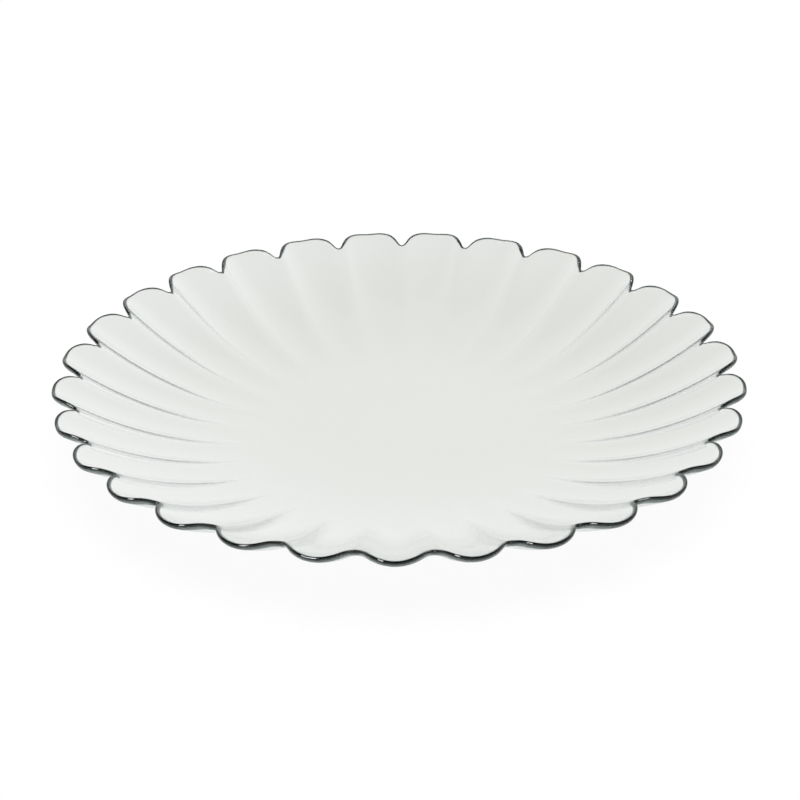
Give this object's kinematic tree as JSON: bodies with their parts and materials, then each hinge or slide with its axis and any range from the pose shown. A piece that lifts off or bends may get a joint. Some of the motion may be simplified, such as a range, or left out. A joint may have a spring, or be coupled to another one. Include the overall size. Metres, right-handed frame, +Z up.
{
  "type": "scalloped dinner plate",
  "caption": "Round clear glass plate with a flat well and a fluted rim of petals, notched between the petals.",
  "frame": {"origin": "on the plate's axis, at the plane of the foot that it stands on", "axes": "+Z up along the plate's axis, -Y towards the tip of one petal"},
  "size_m": [0.2696, 0.2693, 0.0259],
  "materials": {
    "glass": "clear, fire-polished, with a faint grey-green tint"
  },
  "bodies": {
    "root": {"plate": "glass"}
  },
  "joints": []
}
